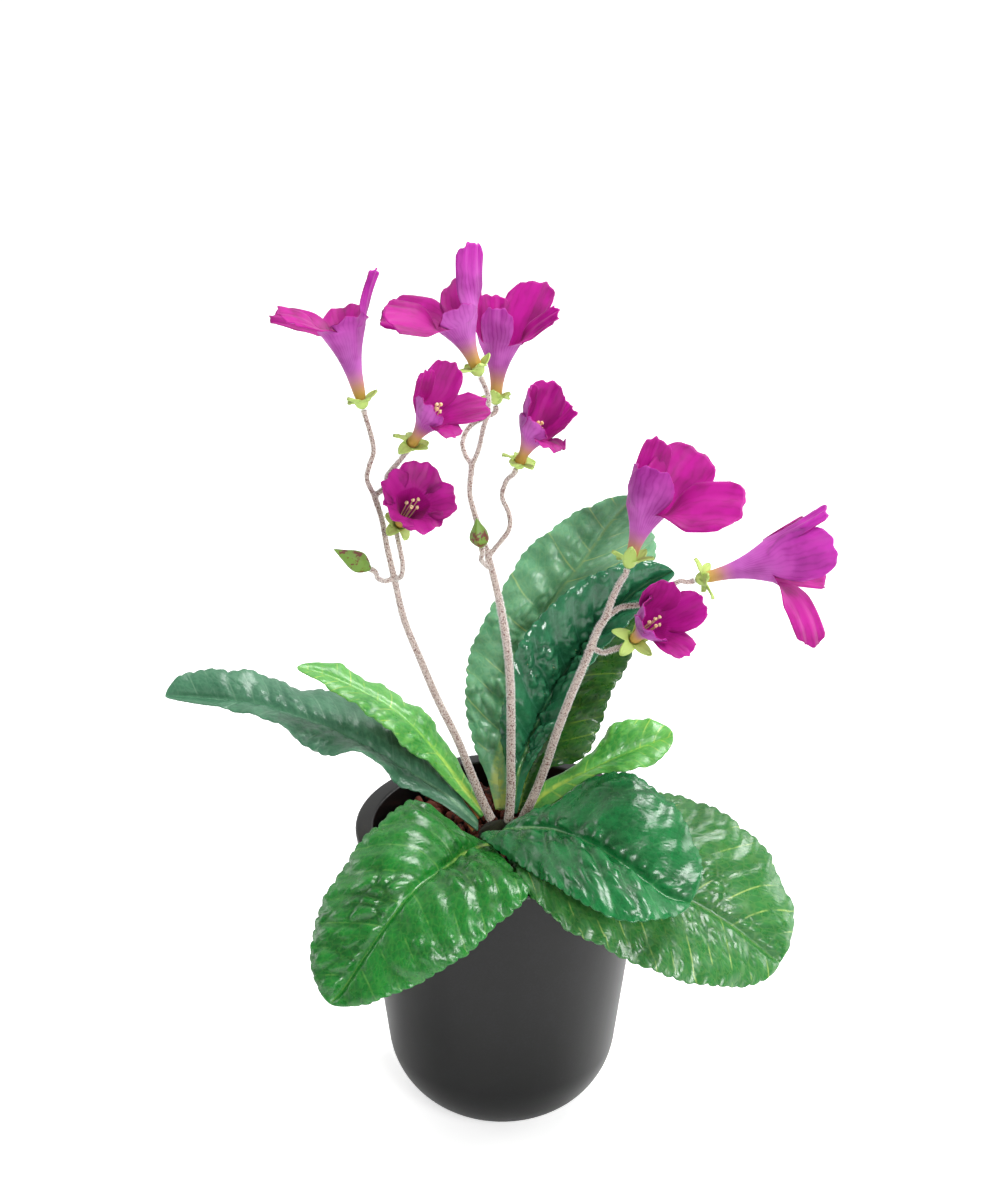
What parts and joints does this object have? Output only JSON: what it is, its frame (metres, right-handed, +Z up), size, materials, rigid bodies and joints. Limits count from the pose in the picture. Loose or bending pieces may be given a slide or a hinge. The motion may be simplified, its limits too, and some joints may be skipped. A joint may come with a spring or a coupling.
{
  "type": "potted streptocarpus",
  "caption": "House plant in flower: strap-shaped quilted leaves and branched stalks with trumpet flowers, rooted in a round-bottomed matte pot.",
  "frame": {"origin": "centre of the pot's flat foot, on the ground", "axes": "+Z up along the pot's axis; -Y towards the side the plant is seen from, +X to that view's right"},
  "size_m": [0.3027, 0.1739, 0.4226],
  "materials": {
    "pot": "matte",
    "potting_mix": "matte",
    "clay_granules": "matte",
    "crown": "matte",
    "leaf": "satin",
    "young_leaf": "satin",
    "stalk": "downy",
    "calyx": "satin",
    "corolla": "satin",
    "stamens": "matte",
    "bud": "satin"
  },
  "bodies": {
    "root": {"pot": "pot", "potting_mix": "potting_mix", "clay_granules": "clay_granules", "crown": "crown", "leaf_front_left": "leaf", "leaf_front_right_upper": "leaf", "leaf_front_right_lower": "leaf", "leaf_left_long": "leaf", "leaf_left_short": "young_leaf", "leaf_back_tall": "leaf", "leaf_back_folded": "leaf", "leaf_back_right": "leaf", "leaf_right_small": "young_leaf", "flower_stalk_left": "stalk", "flower_stalk_middle": "stalk", "flower_stalk_right": "stalk", "flower_1_calyx": "calyx", "flower_1_corolla": "corolla", "flower_1_stamens": "stamens", "flower_2_calyx": "calyx", "flower_2_corolla": "corolla", "flower_2_stamens": "stamens", "flower_3_calyx": "calyx", "flower_3_corolla": "corolla", "flower_3_stamens": "stamens", "flower_4_calyx": "calyx", "flower_4_corolla": "corolla", "flower_4_stamens": "stamens", "flower_5_calyx": "calyx", "flower_5_corolla": "corolla", "flower_5_stamens": "stamens", "flower_6_calyx": "calyx", "flower_6_corolla": "corolla", "flower_6_stamens": "stamens", "flower_7_calyx": "calyx", "flower_7_corolla": "corolla", "flower_7_stamens": "stamens", "flower_8_calyx": "calyx", "flower_8_corolla": "corolla", "flower_8_stamens": "stamens", "flower_9_calyx": "calyx", "flower_9_corolla": "corolla", "flower_9_stamens": "stamens", "flower_bud_1": "bud", "flower_bud_2": "bud"}
  },
  "joints": []
}
